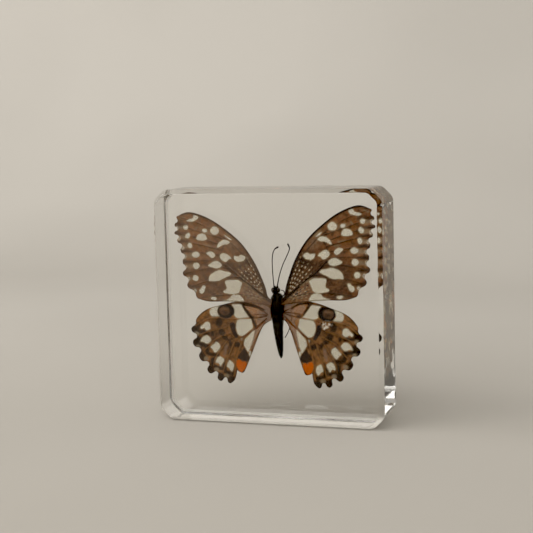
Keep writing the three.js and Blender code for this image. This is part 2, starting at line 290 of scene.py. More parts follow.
resin = Recipe("clear_resin", base_color=(0.992, 0.99, 0.982), transmission_weight=1.0, ior=1.49)
scuffs = resin.noise(0.35, 6.0, roughness=0.75)
split = resin.node("SeparateXYZ", {"Vector": resin.place()})
depth = resin.node("Math", {0: split.outputs["Y"]}, operation="ABSOLUTE").outputs["Value"]
rim_start, face_start = (y * MM for y in (SLAB_DEPTH / 2 - BACK_RIM[1], SLAB_DEPTH / 2 - POLISH))
sides = resin.ranged(split.outputs["Y"], SIDE_ROUGHNESS, BACK_RIM_ROUGHNESS,
                     rim_start - 0.1 * MM, rim_start + 0.05 * MM)
faces = resin.ranged(depth, BACK_RIM_ROUGHNESS, 0.0, face_start, face_start + 0.08 * MM)
ground = resin.node("Math", {0: sides, 1: faces}, operation="MINIMUM").outputs["Value"]
rough = resin.node("Math", {0: ground, 1: resin.ranged(scuffs, 0.0, 0.02, 0.55, 0.8)}, operation="ADD")
resin.feed("Roughness", rough.outputs["Value"])
resin.bump(resin.noise(14, 1.0), 0.02, 0.12)
absorption = resin.node("VolumeAbsorption", {"Color": (0.88, 0.86, 0.74, 1), "Density": 3.0})
output = resin.tree.nodes["Material Output"]
resin.tree.links.new(absorption.outputs["Volume"], output.inputs["Volume"])
finished("resin_block", bm, resin, "resin", ["resin_front", "resin_back"], False, Matrix())

# %% [markdown]
# ## The shape of the wings
#
# A butterfly's wing is a skin thinner than paper, stretched over veins and coloured by rows of tiny
# scales. Each design below is the right wing of its pair, as [outward, up] from the wing's root. The
# left wings are the same designs turned over, set at slightly other angles, because a pair of wings
# never dries quite alike. The outer margin runs from one vein's end to the next and dips in between.

# %% Write down the two wing designs
FOREWING = {
    "costa": [(-1.2, -0.6), (0.1, 0.8), (0.5, 3.2), (1.5, 6.5), (3.8, 12.4), (7.5, 18.4), (12, 22.9),
        (18, 27.3), (24.4, 29.7), (28.8, 28.5)],
    "vein_ends": [(28.8, 28.5), (29.7, 25.8), (30, 23), (29.2, 20.3), (28.3, 17), (27.9, 13.3), (28.2, 9.4),
        (26.9, 4.9), (23.7, 0.8)],
    "scallops": [0.6, 0.9, 0.9, 0.9, 0.9, 0.9, 1, 0.6],
    "hind_margin": [(23.7, 0.8), (20, -0.3), (14, -0.5), (7, -1.1), (0.5, -2.1), (-1.9, -2.4)],
    "veins": [
        [(0.3, 1.6), (3.4, 8.2), (7.2, 14.6), (12, 19.8), (20, 25.2), (27.8, 28.3)],
        [(12, 19.8), (20, 22.6), (28.9, 25.7)],
        [(13.4, 18), (21, 20.8), (29.2, 23)],
        [(14.2, 16.6), (21, 18.6), (28.4, 20.3)],
        [(14.8, 15), (21, 16), (27.5, 17)],
        [(14.6, 12.9), (20, 13.4), (27.1, 13.3)],
        [(0.8, 0.6), (5.4, 4.6), (8.6, 7.4), (14.6, 12.9)],
        [(12, 10.4), (18, 11), (27.4, 9.4)],
        [(8.6, 7.4), (16, 7.4), (26.1, 5)],
        [(0.8, -0.1), (8, 1.6), (16, 1.7), (23, 1)],
        [(12, 19.8), (13.4, 18), (14.2, 16.6), (14.8, 15), (14.6, 12.9)],
    ],
}
HINDWING = {
    "costa": [(-1.9, 2.6), (0.3, 3.8), (3.2, 4.3), (6.5, 3.9), (11.5, 2.8), (15.5, 1.4), (19.5, -0.1),
        (22.2, -2), (23.8, -4)],
    "vein_ends": [(23.8, -4), (25.5, -7.8), (24.6, -12.8), (21.9, -17.6), (18.6, -21.9), (14.6, -24.2),
        (10.8, -24.7)],
    "scallops": [0.5, 1.5, 1.5, 1.7, 1.8, 1.5],
    "hind_margin": [(10.8, -24.7), (9.4, -23.3), (8.9, -21.3), (8.7, -19.9), (8, -20.3), (6.6, -20.4),
        (5.7, -18.5), (3.6, -12), (1.9, -6.5), (0.5, -3.5), (-1.9, -1.6)],
    "veins": [
        [(0.8, 0.4), (7, 1.6), (14, 0.8), (20, -1.5), (23.2, -4)],
        [(0.8, -0.4), (9.7, -2.6), (15.5, -3.2), (20, -3.9), (24.9, -7.4)],
        [(12.7, -5.7), (18, -7.2), (21.8, -9.4), (24, -12.2)],
        [(12.5, -7.8), (16.6, -10.2), (19.4, -13.2), (21.4, -16.9)],
        [(11.6, -9.2), (14.8, -13.4), (16.7, -17.6), (18.2, -21.1)],
        [(9.8, -9.7), (12, -15.6), (13.2, -20), (14.4, -23.4)],
        [(0.5, -1.4), (4.5, -6), (9.8, -9.5)],
        [(9.5, -9.3), (12.2, -7.7), (12.4, -5.6), (9.8, -2.7)],
        [(7.2, -8), (8.8, -13.4), (9.4, -18), (10.5, -23.9)],
        [(0.3, -2.2), (3.6, -10), (5.8, -16.4), (6.6, -19.8)],
    ],
}

# A root is [outward, up] from the middle of the block. The left pair has its own stretch and turn, and
# its scales are rubbed paler than the right pair's. Turns are in degrees, anticlockwise.
RIGHT_FORE = {"root": (4.6, 2.5), "turn": 0, "stretch": (1, 1), "side": 1, "faded": 0}
LEFT_FORE = {"root": (-0.8, 2.3), "turn": 3.1, "stretch": (1.015, 0.985), "side": -1, "faded": 0.27}
RIGHT_HIND = {"root": (4.5, -2), "turn": 0, "stretch": (1, 1), "side": 1, "faded": 0}
LEFT_HIND = {"root": (-1.6, -3), "turn": -5.3, "stretch": (1, 0.985), "side": -1, "faded": 0.07}

# How a scallop dips between two vein ends: share of the way along, share of its full depth. The
# hindwing's lobes are wider than the notches between them.
FOREWING["scallop_profile"] = [(0.18, 0.14), (0.37, 1), (0.63, 1), (0.82, 0.14)]
HINDWING["scallop_profile"] = [(0.23, 0.18), (0.39, 1), (0.61, 1), (0.77, 0.18)]

# %% Turn the designs into outlines
def curve_through(points, steps, closed=False):
    """Points along a smooth curve that passes through the given ones."""
    points = np.array(points, float)
    if closed:
        points = np.vstack([points[-1:], points, points[:2]])
    else:
        points = np.vstack([points[:1], points, points[-1:]])
    before, start, end, after = points[:-3], points[1:-2], points[2:-1], points[3:]
    rows = []
    for share in np.linspace(0, 1, steps, endpoint=False):
        leave, arrive = (end - before) / 2, (after - start) / 2
        square, cube = share ** 2, share ** 3
        rows.append((2 * cube - 3 * square + 1) * start + (cube - 2 * square + share) * leave
                    + (3 * square - 2 * cube) * end + (cube - square) * arrive)
    curve = np.stack(rows, axis=1).reshape(-1, points.shape[1])
    return curve if closed else np.vstack([curve, points[-2:-1]])


def wing_outline(wing, steps=6):
    margin = []
    ends = np.array(wing["vein_ends"])
    for start, end, depth in zip(ends, ends[1:], wing["scallops"]):
        along = end - start
        inward = np.array((along[1], -along[0])) / np.linalg.norm(along)
        margin.append(start)
        for share, dip in wing["scallop_profile"]:
            margin.append(start + along * share + inward * dip * depth)
    margin.append(ends[-1])
    edges = [wing["costa"], margin, wing["hind_margin"]]
    return np.vstack([curve_through(edge, steps)[:-1] for edge in edges])


outlines = {"forewing": wing_outline(FOREWING), "hindwing": wing_outline(HINDWING)}
for name, outline in outlines.items():
    wide, high = outline.max(axis=0) - outline.min(axis=0)
    print(f"{name}: {wide:.1f} mm wide, {high:.1f} mm high")


# %% [markdown]
# ## Wing sheets
#
# Each sheet starts as a fine level grid. Points outside the outline go, the points on the new rim are
# pulled onto the outline, and the rest is given its thickness. A real wing isn't flat: its veins stand
# out on both sides and the skin sags a little between them, like cloth on a kite, and the whole wing
# bows gently from root to tip. The distance from each point to its nearest vein gives us both.

# %% Measure distances to lines and outlines
def nearest_on(points, line, closed=False):
    """How far each point is from a line of points, and where on it the nearest place is."""
    ends = np.roll(line, -1, axis=0) if closed else line[1:]
    best = np.full(len(points), np.inf)
    place = np.zeros_like(points)
    for start, end in zip(line, ends):
        along = end - start
        share = np.clip((points - start) @ along / max(along @ along, 1e-12), 0, 1)
        foot = start + share[:, None] * along
        gap = np.linalg.norm(points - foot, axis=1)
        closer = gap < best
        best[closer] = gap[closer]
        place[closer] = foot[closer]
    return best, place


def depth_inside(points, outline):
    """How deep each point lies inside a closed outline. It is negative outside."""
    inside = np.zeros(len(points), bool)
    for (x0, z0), (x1, z1) in zip(outline, np.roll(outline, -1, axis=0)):
        if z0 != z1:
            spans = (z0 > points[:, 1]) != (z1 > points[:, 1])
            inside ^= spans & (points[:, 0] < x0 + (points[:, 1] - z0) * (x1 - x0) / (z1 - z0))
    gap, _ = nearest_on(points, outline, closed=True)
    return np.where(inside, gap, -gap)


# %% Make the sheets
GRID, RIM_REACH, SHEET_THICKNESS = 0.17, 0.35, 0.1


def flat_sheet(outline):
    """A flat plate of the outline's shape in the X-Z plane, about y = 0."""
    low, high = outline.min(axis=0) - GRID, outline.max(axis=0) + GRID
    wide, high_up = high - low
    bm = bmesh.new()
    place = Matrix.Translation(((low[0] + high[0]) / 2, 0, (low[1] + high[1]) / 2))
    stand = Matrix.Rotation(math.pi / 2, 4, "X") @ Matrix.Diagonal((wide, high_up, 1, 1))
    bmesh.ops.create_grid(bm, x_segments=int(wide / GRID), y_segments=int(high_up / GRID), size=0.5,
                          matrix=place @ stand)
    flat = np.array([(v.co.x, v.co.z) for v in bm.verts])
    depth = depth_inside(flat, outline)
    outside = [v for v, d in zip(bm.verts, depth) if d < -RIM_REACH * GRID]
    bmesh.ops.delete(bm, geom=outside, context="VERTS")
    loose = [v for v in bm.verts if not v.link_faces]
    bmesh.ops.delete(bm, geom=loose, context="VERTS")
    rim = [v for v in bm.verts if v.is_boundary]
    _, feet = nearest_on(np.array([(v.co.x, v.co.z) for v in rim]), outline, closed=True)
    for vert, (x, z) in zip(rim, feet):
        vert.co.x, vert.co.z = x, z
    bmesh.ops.solidify(bm, geom=bm.faces[:], thickness=SHEET_THICKNESS)
    middle_y = sum(v.co.y for v in bm.verts) / len(bm.verts)
    bmesh.ops.translate(bm, vec=(0, -middle_y, 0), verts=bm.verts[:])
    return bm


sheets = {name: flat_sheet(outline) for name, outline in outlines.items()}
for name, sheet in sheets.items():
    print(name, "sheet has", len(sheet.verts), "points")


# %% [markdown]
# ## How the markings are painted
#
# The pattern is made by scales of a few colours. We lay it down like a painter: a ground colour, then
# large soft patches, then each mark with its own rounded outline, and dark lines last. A mark's edge
# wanders a little, because scales don't end on a ruler's line. Each layer also says how much the wing
# covers what is behind it. Resin wets the pale scales and makes them nearly clear, so the cream marks
# act as windows, while the dark scales stay solid. The marks are written as [x, z] in millimetres from
# the middle of the block, as they lie on the right pair.

# %% Helpers for painting
def clamp(values):
    return np.clip(values, 0, 1)


def cloud(points, size, seed):
    """Smooth random values from -1 to 1 that change over about size millimetres."""
    cells = np.random.default_rng(seed).uniform(-1, 1, (97, 97))
    place = points / size
    corner = np.floor(place).astype(int)
    part = place - corner
    x, z = (part * part * (3 - 2 * part)).T
    i, j = (corner % 96).T
    near = cells[i, j] * (1 - x) + cells[i + 1, j] * x
    far = cells[i, j + 1] * (1 - x) + cells[i + 1, j + 1] * x
    return near * (1 - z) + far * z


class Painting:
    """The colour and the cover of every point of one wing."""

    def __init__(self, points, depth, seed):
        self.points = points
        self.depth = depth
        self.seed = seed
        self.colour = np.zeros((len(points), 3))
        self.cover = np.ones(len(points))
        self.wander = 0.6 * cloud(points, 0.7, seed) + 0.4 * cloud(points, 0.3, seed + 1)

    def lay(self, share, colour, cover=None):
        share = clamp(share)
        self.colour += share[:, None] * (np.array(linear(*colour)) - self.colour)
        if cover is not None:
            self.cover += share * (cover - self.cover)

    def shape(self, outline, soft=0.3, ragged=0.12):
        """1 inside a rounded closed shape and 0 outside it."""
        outline = curve_through(outline, 5, closed=True)
        low, high = outline.min(axis=0) - 1, outline.max(axis=0) + 1
        near = np.all((self.points > low) & (self.points < high), axis=1)
        share = np.zeros(len(self.points))
        depth = depth_inside(self.points[near], outline) + ragged * self.wander[near]
        share[near] = clamp(depth / soft + 0.5)
        return share

    def oval(self, x, z, wide, high, tilt=0, soft=0.3, ragged=0.12):
        """1 inside an oval of the given full width and height, tilted anticlockwise in degrees."""
        cos, sin = math.cos(math.radians(tilt)), math.sin(math.radians(tilt))
        dx, dz = self.points[:, 0] - x, self.points[:, 1] - z
        reach = np.hypot((dx * cos + dz * sin) * 2 / wide, (dz * cos - dx * sin) * 2 / high)
        depth = (1 - reach) * min(wide, high) / 2
        return clamp((depth + ragged * self.wander) / soft + 0.5)

    def lay_ovals(self, rows):
        """Lays ovals down one after another, each as strength, place, colour and cover."""
        for strength, place, colour, cover in rows:
            self.lay(strength * self.oval(*place), colour, cover)

    def stroke(self, line, start_width, end_width=None, soft=0.2, ragged=0.08):
        """1 on a smooth line and 0 off it. Its width goes evenly from start to end."""
        curve = curve_through(line, 5) if len(line) > 2 else np.array(line, float)
        gap, foot = nearest_on(self.points, curve)
        end_width = start_width if end_width is None else end_width
        length = np.linalg.norm(curve[-1] - curve[0])
        share = clamp(np.linalg.norm(foot - curve[0], axis=1) / length)
        width = start_width + (end_width - start_width) * share
        return clamp((width / 2 - gap + ragged * self.wander) / soft + 0.5)


# %% [markdown]
# ## The forewing's markings
#
# A dark brown ground carries rows of cream windows. Towards the root the ground is nearly black, with
# fine cream dashes in rows that fan out from the root, which is the mark of this kind of butterfly.
# Near the tip the ground has a painted amber glow, which stands for light shining through the scales. Dark
# teeth run in along the vein ends.

# %% List the forewing's marks
CREAM, CREAM_COVER = (248, 240, 204), 0.3
TAN, TAN_COVER = (168, 138, 96), 0.6
FORE_GROUND, FORE_BLACK = (142, 95, 56), (46, 31, 23)
FORE_PATCHES = [
    (0.9, (21.5, 9, 12, 14, 0, 4), (103, 71, 50), 0.95),
    # Painted glow: this amber patch by the tip stands for light shining through the scales.
    (0.7, (27.3, 23.6, 6.5, 11, 0, 3), (146, 90, 26), 0.85),
    (0.85, (9, 10, 11, 17, -32, 4), (62, 42, 30), 0.95),
    (0.85, (9.5, 3.8, 10, 5, 28, 2.5), (150, 106, 62), 0.7),
    (0.45, (15, 20.4, 5, 3, 35, 2), (172, 146, 120), 0.7),
]
FORE_CREAM = {
    "tip": [(26, 30.4), (26.8, 31), (27.6, 31), (28, 30.2), (29.2, 29.9), (30.2, 29.4), (29.3, 29),
        (27.8, 29.1), (26.5, 29.6)],
    "above_cell_streak": [(15.3, 22.3), (16.3, 23.2), (17.5, 23.9), (17.2, 23.3), (16.2, 22.5)],
    "above_cell_arc": [(15.9, 21.5), (17.2, 22.4), (18.8, 22.2), (20, 21.2), (20.5, 20), (19.4, 20.2),
        (18.2, 20.8), (17, 20.8)],
    "third": [(24.2, 24.5), (25.4, 24.9), (26.7, 24.4), (27.3, 23.2), (26.2, 22.6), (24.4, 22.5),
        (23.6, 23.2)],
    "fifth": [(21.3, 17.2), (21.6, 18.2), (22.8, 18.8), (24.1, 18.4), (23.5, 17.4), (22.2, 16.6)],
    "sixth": [(19.3, 14.2), (20.2, 15.3), (21.6, 15.6), (23, 15), (23.9, 14.2), (22.8, 13.5), (21.3, 13.1),
        (20, 13.3)],
    "seventh": [(16.4, 11), (17.2, 11.8), (18.5, 12), (20.2, 12.5), (22, 12), (23.6, 11), (24.1, 9.8),
        (24, 9), (22.5, 8.9), (20.5, 9), (18.5, 9.9)],
    "great": [(13, 7.8), (13.6, 8.6), (14.8, 9), (18.4, 8.9), (18.3, 6.3), (19.4, 5.6), (19.2, 4.9),
        (17.5, 4.5), (15.5, 4.3), (14.2, 4.9), (13.7, 6)],
    "hind_edge": [(13.1, 3), (14.2, 4), (15.5, 4.2), (16.8, 3.9), (17.3, 3.2), (18.6, 2.6), (19.8, 2.3),
        (18, 1.6), (14, 1.5), (12.7, 1.9)],
    "cell_inner": [(11.1, 16.2), (11.8, 17), (12.8, 17.2), (13.4, 16.7), (14.2, 16.9), (15, 16.9),
        (14.9, 15.8), (14, 15), (13, 15), (11.8, 15.3)],
    "cell_outer": [(15.9, 16.2), (17, 17.5), (18.4, 18.1), (19.5, 17.7), (19.7, 16.7), (19, 15.6),
        (18, 15.1), (17.3, 15.3), (16.8, 15.9)],
    "bean": [(25.3, 7.4), (26.3, 7.6), (26.8, 6.9), (27.6, 6.3), (27.6, 5.3), (26.9, 4.8), (26, 5.4),
        (25.7, 6.3)],
}
FORE_CREAM_OVALS = [(20.8, 25.6, 3, 2.8, 0), (24.2, 25.8, 1.7, 1.3, 20), (30.6, 27.3, 1.6, 1.8, 0),
    (30.1, 24.4, 1.6, 2, 25), (29.6, 21.1, 1.5, 1.9, 0), (27.8, 18, 2.5, 2, 0), (28, 14.3, 2.2, 2.2, 0),
    (28.6, 10.2, 2, 2, 0), (22.9, 3.1, 2, 1.1, 10)]
FORE_NOTCHES = [(33.6, 27), (33.2, 23.8), (32.3, 20.7), (31.7, 17.5), (31.8, 14), (31, 10), (29, 6)]
FORE_TAN = [[(26.8, 27), (27.4, 26.2)], [(22.7, 20.7), (24.8, 21.3)], [(21.5, 19.4), (23.3, 19.6)],
    [(31, 30.7), (33.3, 29.7)], [(14.6, 22.4), (17, 24.4)], [(15.6, 24.4), (18.4, 26.3)]]
FORE_ROOT = np.array((4, 1.4))
FORE_CELL = [(6, 4), (6.4, 9), (8.8, 15), (11.5, 17), (14.5, 15), (14, 11.3), (9.5, 6.2), (7.5, 4.4)]
FORE_HIND_CELLS = [(6, 2.4), (9, 5), (13, 8.4), (13, 4.4), (12.6, 1.9), (9, 1.6)]
print("each forewing has", len(FORE_CREAM) + len(FORE_CREAM_OVALS), "cream marks")

# %% Paint the forewings
def streak(painting, root):
    """Fine light and dark streaks in the scales, which run out from the wing's root."""
    from_root = painting.points - root
    reach = np.hypot(*from_root.T)
    spread = 16 * np.arctan2(from_root[:, 1], from_root[:, 0])
    streaks = np.stack([0.4 * reach, spread], axis=1)
    painting.lay(0.4 * clamp(cloud(streaks, 0.45, painting.seed + 40) * 1.6), (170, 124, 78))
    painting.lay(0.5 * clamp(cloud(streaks, 0.5, painting.seed + 41) * 1.6), (52, 33, 22))
    painting.lay(0.25 * clamp(cloud(painting.points, 0.5, painting.seed + 42) * 1.6), (52, 33, 22))


def fan_of_dashes(painting, pitch, spread, seed):
    """Rows of short dashes that fan out from the forewing's root."""
    from_root = painting.points - FORE_ROOT
    reach = np.hypot(*from_root.T) + 0.25 * cloud(painting.points, 1.6, seed)
    angle = np.arctan2(from_root[:, 1], from_root[:, 0]) + 0.012 * cloud(painting.points, 1.3, seed + 1)
    row = np.floor(angle / spread)
    shift = np.random.default_rng(seed).uniform(0, 1, 64)[row.astype(int) % 64]
    along = (reach / pitch + shift) % 1
    off_row = np.abs(angle / spread - row - 0.5) * spread * reach
    return clamp((0.27 - np.abs(along - 0.5)) * 8) * clamp((0.24 - off_row) * 9)


def paint_forewing(painting, wing, root):
    lay, oval, shape, stroke = painting.lay, painting.oval, painting.shape, painting.stroke
    at = painting.points
    lay(np.ones(len(at)), FORE_GROUND, 0.93)
    painting.lay_ovals(FORE_PATCHES)
    lay(0.4 * clamp(cloud(at, 2.6, painting.seed + 2)), (150, 116, 80))
    streak(painting, FORE_ROOT)
    for vein in wing["veins"]:
        lay(0.7 * stroke(np.array(vein) + root, 0.4, 0.18), FORE_BLACK, 0.97)
    cell = shape(FORE_CELL, 1.2)
    lay(0.85 * cell * fan_of_dashes(painting, 1.5, 0.1, painting.seed + 3), (236, 206, 154), 0.3)
    hind = shape(FORE_HIND_CELLS, 1)
    lay(0.7 * hind * fan_of_dashes(painting, 1.6, 0.12, painting.seed + 5), (220, 184, 130), 0.45)
    lay(0.5 * stroke([(10, 14.8), (14, 13.4), (18, 14.3)], 2.2, 1.4, 0.9), (60, 40, 29), 0.97)
    for line in FORE_TAN:
        lay(0.75 * stroke(line, 0.6, 0.35, 0.3), TAN, TAN_COVER)
    for x, z in FORE_NOTCHES[:-1]:
        lay(0.75 * oval(x - 1.8, z + 0.1, 3.2, 1.3, 0, 0.8), TAN, TAN_COVER)
    for line in FORE_CREAM.values():
        lay(0.5 * shape(line, 1.1, 0.2), TAN, TAN_COVER)
        lay(shape(line), CREAM, CREAM_COVER)
    for x, z, wide, high, tilt in FORE_CREAM_OVALS:
        lay(0.5 * oval(x + 0.5, z, wide + 0.9, high + 0.2, tilt, 0.9), TAN, TAN_COVER)
        lay(oval(x, z, wide, high, tilt), CREAM, CREAM_COVER)
    lay(stroke([(5, 2.5), (9, 5.8), (12, 8.2), (15, 10.5), (19, 14.5)], 1.1, 0.5), FORE_BLACK, 0.97)
    lay(0.7 * stroke([(10, 6.4), (12, 7.9), (14, 9.2)], 0.4), TAN, TAN_COVER)
    lay(0.75 * clamp((0.5 - painting.depth) / 0.5), (58, 39, 28), 0.95)
    for end in np.array(wing["vein_ends"][1:-1]) + root:
        lay(0.8 * stroke([end, end - (4.2, 0.2)], 1.7, 0.4, 0.6), (66, 45, 32), 0.95)
    for x, z in FORE_NOTCHES:
        lay(0.9 * oval(x, z, 1.3, 1.7, 0, 0.4), (206, 182, 142), 0.42)
    costa = curve_through(np.array(wing["costa"]) + root, 5)
    gap, _ = nearest_on(at, costa)
    band = 0.65 + 0.6 * clamp((15 - at[:, 1]) / 12)
    lay(clamp((band - gap) / 0.3 + 0.5) * clamp((34 - at[:, 0]) / 4), FORE_BLACK, 0.98)


# %% [markdown]
# ## The hindwing's markings
#
# The hindwing is paler. Behind a dark costal band it has an eye spot ringed with blue-black, a row of
# cream windows that stop short of the dark scalloped edge, and an orange spot by the body. Its veins
# are golden.

# %% List the hindwing's marks
HIND_GROUND, HIND_BLACK, BLUE_BLACK = (176, 123, 66), (42, 28, 20), (46, 37, 38)
GOLD, ORANGE = (186, 134, 74), (228, 114, 8)

HIND_CREAM = {
    "before_eye": [(13.5, 0.3), (15, 0.4), (16.5, 0), (15.6, -2), (15.5, -3.7), (14, -4.4), (12.2, -4),
        (10.5, -3.7), (11, -3), (12.2, -1.5), (12.8, -0.6)],
    "cell": [(9.7, -4.2), (11.8, -4.4), (14, -4.8), (14.6, -6), (14.6, -7.5), (14, -9.5), (12.8, -10.2),
        (11.8, -10), (10.4, -8.6), (9, -7.2), (8.9, -6.6), (9.2, -5.5)],
    "beyond_eye": [(20.5, -1), (22, -1.4), (23.5, -2.2), (24, -3.4), (23.3, -4.8), (21.8, -4.9),
        (20.5, -4.5), (21.4, -3)],
    "inner": [(8.4, -7.5), (9.8, -9.3), (11.3, -11), (11.6, -12.4), (11.3, -13.5), (10, -15.3), (9.4, -14),
        (9, -12.5), (8.3, -9)],
    "slit": [(9, -14.9), (9.5, -15), (9.6, -16), (9.3, -16.9), (8.9, -16)],
    "small": [(12.1, -10.9), (12.7, -11.1), (12.4, -11.8)],
    "s1": [(23.7, -7.2), (25, -6.9), (26, -7.9), (27, -8.9), (26.5, -9.6), (25.6, -9.2), (24.6, -9.9),
        (23.4, -9.1), (23.4, -8.2)],
    "s2": [(23.5, -11.8), (24.5, -11.4), (25.5, -11.9), (26.3, -12.8), (26.9, -14), (25.5, -13.8),
        (24.5, -14.4), (23.2, -13.5), (22.9, -12.7)],
    "s3": [(20, -13.7), (21, -13.2), (21.9, -14), (23, -15.2), (22.2, -16), (21.3, -17), (20, -15.9),
        (19.6, -14.8)],
    "s4": [(18.2, -18.6), (19.3, -18), (20.3, -18.3), (20.9, -19.6), (20.8, -20.5), (19.8, -20.4),
        (19.2, -21.4), (18.6, -20.6), (18, -19.3)],
    "s5": [(15, -19.4), (16.2, -18.8), (16.6, -19.5), (17, -21), (16.3, -21.5), (15.6, -22.3),
        (15.1, -22.5), (14.6, -21.6), (14.5, -20.3)],
}
BASE_PATCHES = [
    (1, (8.3, -1.4, 9, 7.5, -15, 1.6), (186, 124, 52), 0.62),
    (1, (6.6, -8.4, 5, 15, 18, 1.4), (176, 116, 50), 0.6),
    (0.8, (4.4, -2.2, 5, 6.5, 0, 2), (120, 66, 24), 0.6),
]
EYE_SPOT = [
    (1, (18.4, -2.45, 5.9, 4.9, -8, 0.3), (32, 24, 23), 0.98),
    (0.95, (18.9, -2.5, 3.6, 3, -8, 0.5), (112, 80, 56), 0.9),
    (0.6, (19, -1.8, 2.2, 0.8, -8, 0.6), (160, 124, 90), 0.8),
    (0.6, (18.6, -3, 1.8, 1.2, 20, 0.6), (56, 42, 37), 0.95),
]
HIND_DARK_OVALS = [(20.4, -6.6, 2.3, 3.3, 0), (19.3, -9.8, 2.4, 2.2, 0), (18, -11.6, 2.2, 1.3, 20),
    (13.8, -13.3, 1.9, 2, 0), (16.3, -13, 1.2, 2.4, -15), (22.6, -10.6, 1.2, 1.6, 0)]
HIND_LOBES = [(29.7, -9.8), (28.6, -14.6), (26.4, -19.2), (23, -23.2), (19.2, -25.3), (15.1, -26)]
HIND_NOTCHES = [(28, -11.3), (27.3, -15.7), (24.3, -19.4), (20.4, -22.6), (16.8, -24.3)]
HIND_LUNULES = [
    [(27.6, -8), (27.6, -10.2), (25.6, -10.4), (24.2, -10.6)],
    [(27.2, -12.6), (27.3, -14.6), (25.4, -14.8), (23.8, -15)],
    [(24.2, -15.6), (23.8, -17.4), (22, -17.8), (20.4, -17.6)],
    [(21.8, -19.4), (21.7, -21.2), (20, -21.8), (18.7, -22)],
    [(17.8, -20.8), (17.4, -22.6), (16, -23.2), (14.8, -23.4)],
]
ORANGE_SPOT = [(10.2, -19.2), (10.9, -18.5), (11.7, -18.9), (12.6, -18.2), (13.5, -18.5), (13.7, -19.9),
    (13.2, -21.2), (12.1, -22.5), (11.1, -21.7), (10.4, -20.5)]
ABOVE_ORANGE = [(10.2, -15.5), (11.4, -14), (12, -15), (13, -16.5), (13.3, -17.6), (11.5, -18.4),
    (9.9, -18.3), (9.3, -16.9)]
BASE_VEINS = [
    [(4.2, -2), (5.6, -1.2), (7, -0.7)],
    [(4.4, -2.6), (9, -3.8), (12.4, -4.7)],
    [(4.4, -3.4), (8.4, -7.4), (12.4, -10.9)],
    [(4.6, -4.6), (7.3, -9.8), (8.9, -15), (9.4, -18.5)],
    [(4.3, -2.2), (7.5, -2.4), (10.8, -2.9)],
]
GOLDEN_VEINS = [
    [(20, -5), (24, -5.5), (26.5, -7), (28.5, -8.7)],
    [(18, -8), (22.5, -9.5), (26, -11), (27, -12.3)],
    [(18, -10.5), (21.5, -12.5), (23, -14.5), (25, -16.5)],
    [(17.5, -12.5), (19, -15), (20.3, -17), (21.3, -19.5), (21.5, -21.5)],
    [(14.9, -12.5), (15.5, -14.5), (16.5, -17.5), (17.3, -20), (18, -23)],
    [(12, -11), (13.2, -15), (13.7, -18), (13.9, -21), (14.3, -24)],
]
print("each hindwing has", len(HIND_CREAM), "cream marks and", len(GOLDEN_VEINS), "golden veins")

# %% Paint the hindwings
def paint_base(painting, right):
    """The costal band and the golden area by the root. The two sides differ a little."""
    lay, oval, stroke = painting.lay, painting.oval, painting.stroke
    painting.lay_ovals(BASE_PATCHES)
    for line in BASE_VEINS:
        lay(0.85 * stroke(line, 0.42, 0.26), (66, 38, 24), 0.93)
    if right:
        band = [(7, -0.8), (8.5, 0.2), (10, 0.7), (12, 0.9), (13.5, 0.7)]
        lay(0.9 * stroke(band, 0.6, 0.9), HIND_BLACK, 0.95)
    else:
        lay(0.9 * stroke([(5.6, -0.6), (9, 0.3), (13.2, 0.6)], 0.6, 1.5), HIND_BLACK, 0.95)
        lay(0.9 * stroke([(11, -2), (9, -4.6), (7.6, -6.8)], 1.2, 0.8), HIND_BLACK, 0.95)
    lay(0.9 * stroke([(12.7, 0.2), (12, -1.2), (11.3, -2), (10.9, -2.8)], 1.2, 0.9), HIND_BLACK, 0.95)
    lay(0.8 * oval(9.3, -3.3, 2.2, 0.8, 0), HIND_BLACK, 0.95)


def paint_damage(painting):
    """The cracked place on the right hindwing: a torn patch, pale crumbs and a pinhole's dark dot."""
    lay, oval = painting.lay, painting.oval
    lay(0.85 * oval(15.6, -5.2, 2.1, 1.6, -10, 0.4, 0.4), (150, 92, 48), 0.85)
    lay(0.95 * oval(16.6, -5.6, 0.6, 0.6), HIND_BLACK, 0.97)
    crumbs = clamp((cloud(painting.points, 0.45, 77) - 0.05) * 5)
    lay(0.95 * crumbs * oval(18, -6, 3.4, 2.6, 0, 0.6, 0.4), (222, 212, 190), 0.85)
    for x, z, size in ((17.2, -5.9, 1.1), (18.3, -6.7, 1.4), (19.1, -5.8, 1), (17.5, -7.1, 0.7)):
        lay(oval(x, z, size, 0.7 * size, 20, 0.3, 0.3), (255, 250, 236), 0.95)


